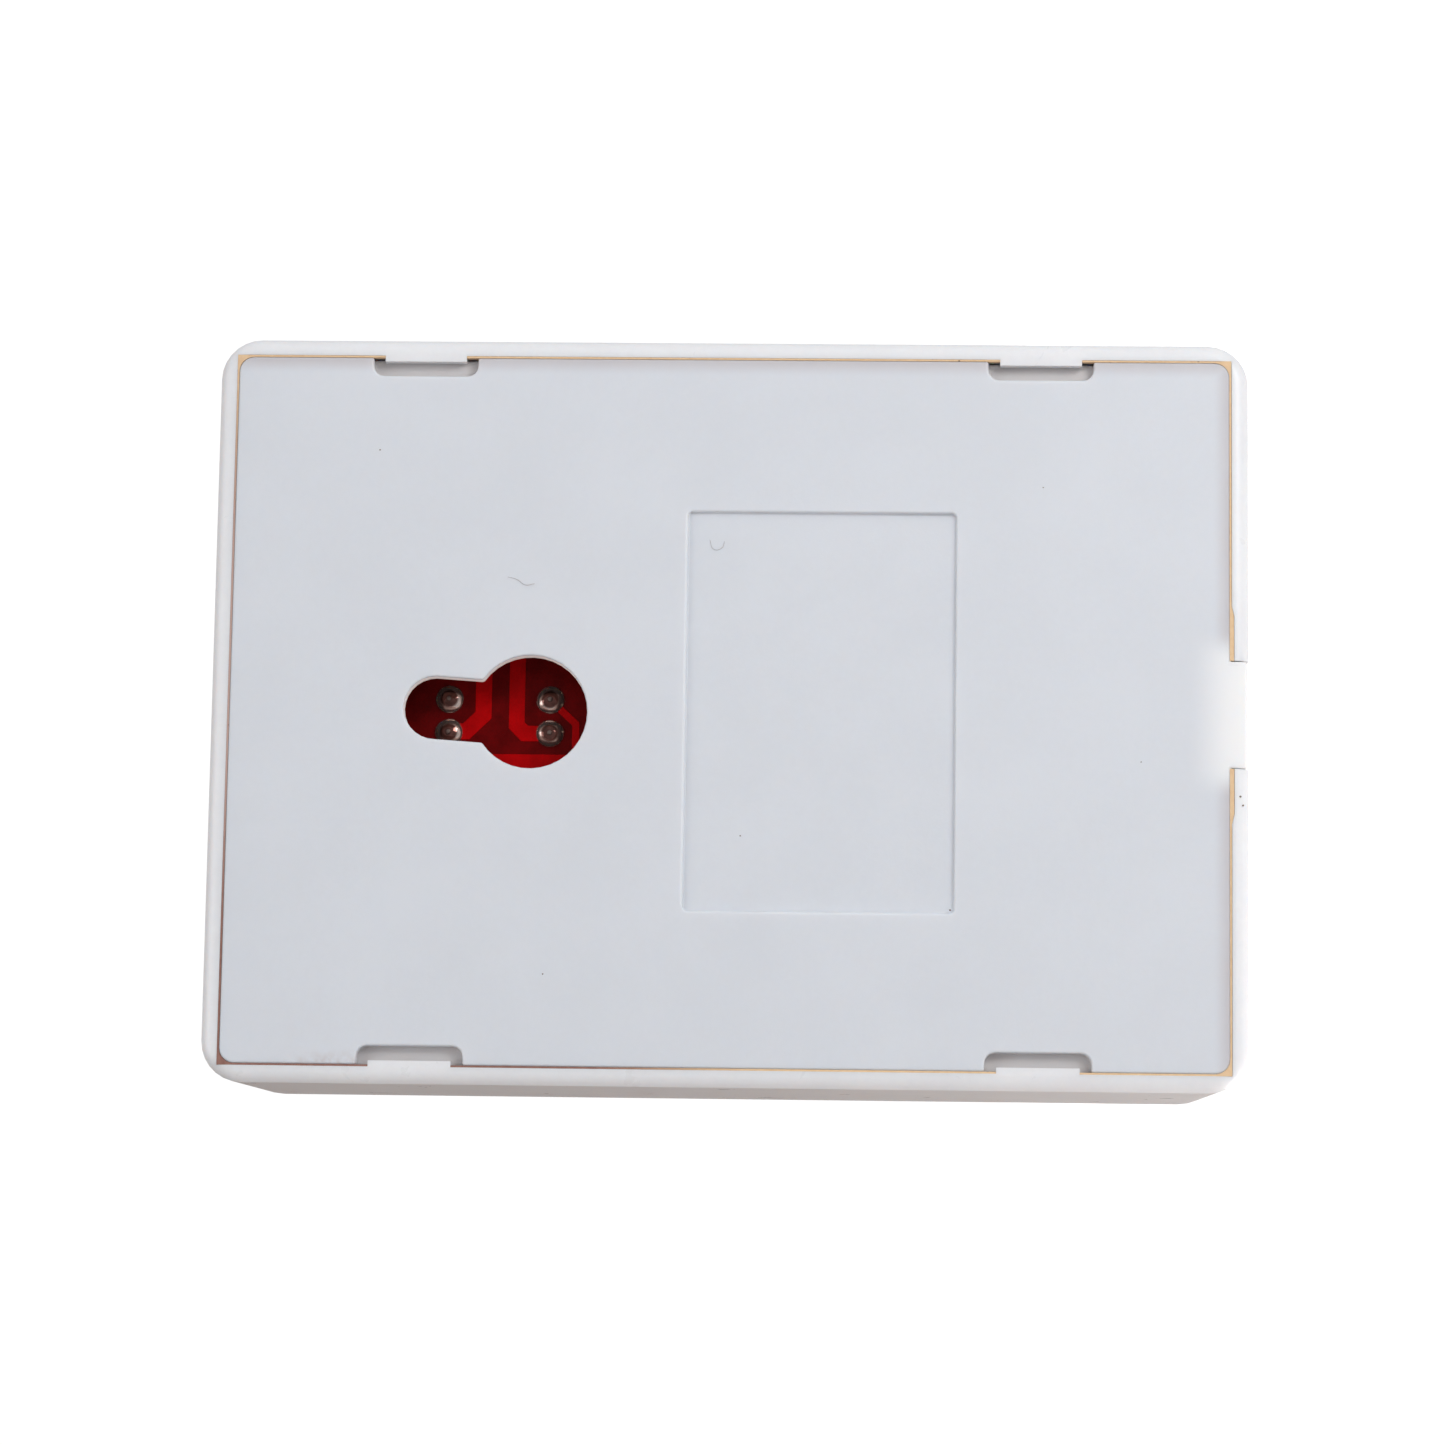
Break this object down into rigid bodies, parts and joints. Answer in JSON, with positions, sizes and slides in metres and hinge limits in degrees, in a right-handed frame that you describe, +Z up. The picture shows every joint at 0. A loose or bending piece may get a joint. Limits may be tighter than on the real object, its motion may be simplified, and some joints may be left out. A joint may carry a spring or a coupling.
{
  "type": "manual call point",
  "caption": "Wall-mounted manual call point: white drafted casing, snap-in rear cover with keyhole, hinged press panel, reset rotor and latch, alarm flag, board and microswitch.",
  "frame": {"origin": "where the wall screw sits: the centre of the keyhole's round upper end, on the rear plane", "axes": "+Z up the wall along the casing's long side, +Y out of the rear cover towards the wall, +X across"},
  "size_m": [0.056, 0.018, 0.0769],
  "materials": {
    "white_abs": "fine satin white ABS moulding",
    "cover_abs": "fine satin white ABS plate, slightly cooler",
    "press_red": "red semi-gloss moulding",
    "board_red": "red solder mask on tan glass-epoxy laminate",
    "black_nylon": "black nylon",
    "plunger_red": "red acetal",
    "grey_acetal": "grey acetal",
    "flag_yellow": "yellow and black flag",
    "sleeve_blue": "dark blue sleeve",
    "resistor_tan": "lacquered ceramic with colour bands",
    "diode_black": "black epoxy with a pale band",
    "block_green": "green polyamide",
    "clear_lens": "clear moulded lens",
    "led_red": "red diffused epoxy",
    "plated_steel": "zinc plated steel",
    "tinned_brass": "tinned brass",
    "spring_steel": "drawn spring wire"
  },
  "bodies": {
    "root": {"front_casing": "white_abs", "rear_cover": "cover_abs", "circuit_board": "board_red", "hinge_pin": "plated_steel", "microswitch_body": "black_nylon", "switch_terminal_common": "tinned_brass", "switch_terminal_open": "tinned_brass", "switch_terminal_closed": "tinned_brass", "panel_spring": "spring_steel", "flag_spring": "spring_steel", "latch_spring": "spring_steel", "status_led": "led_red", "status_lens": "clear_lens", "optocoupler": "black_nylon", "load_resistor": "resistor_tan", "end_of_line_resistor": "resistor_tan", "diode": "diode_black", "capacitor": "sleeve_blue", "terminal_block": "block_green", "clamp_screw_1": "plated_steel", "clamp_screw_2": "plated_steel", "clamp_contact_1": "tinned_brass", "clamp_contact_2": "tinned_brass", "board_screw_top_left": "plated_steel", "board_screw_top_right": "plated_steel", "board_screw_bottom_left": "plated_steel", "board_screw_bottom_right": "plated_steel"},
    "panel": {"press_panel": "press_red"},
    "plunger": {"switch_plunger": "plunger_red"},
    "flag": {"alarm_flag": "flag_yellow"},
    "rotor": {"reset_rotor": "black_nylon"},
    "latch": {"reset_latch": "grey_acetal"}
  },
  "joints": [
    {"name": "panel_press", "type": "hinge", "parent": "root", "child": "panel", "pos_m": [0, -0.0136, -0.004], "axis": [1, 0, 0], "range_deg": [0, 4.5], "stiffness_Nm_per_rad": 0.15, "springref_deg": -8.59, "deforming": ["panel_spring"]},
    {"name": "plunger_slide", "type": "slide", "parent": "root", "child": "plunger", "axis": [0, 1, 0], "range_m": [0, 0.00068]},
    {"name": "flag_slide", "type": "slide", "parent": "root", "child": "flag", "axis": [0, 0, -1], "range_m": [0, 0.00232], "deforming": ["flag_spring"]},
    {"name": "reset_turn", "type": "hinge", "parent": "root", "child": "rotor", "pos_m": [0, -0.0153, -0.0524], "axis": [0, 1, 0], "range_deg": [0, 90]},
    {"name": "latch_slide", "type": "slide", "parent": "root", "child": "latch", "axis": [0, 0, -1], "range_m": [0, 0.00212], "stiffness_N_per_m": 60, "springref_m": -0.002, "deforming": ["latch_spring"]}
  ],
  "couplings": [
    {"joint": "plunger_slide", "follows": "panel_press", "m_per_rad": 0.0085},
    {"joint": "flag_slide", "follows": "panel_press", "m_per_rad": 0.0293},
    {"joint": "reset_turn", "follows": "latch_slide", "rad_per_m": 740.7}
  ]
}
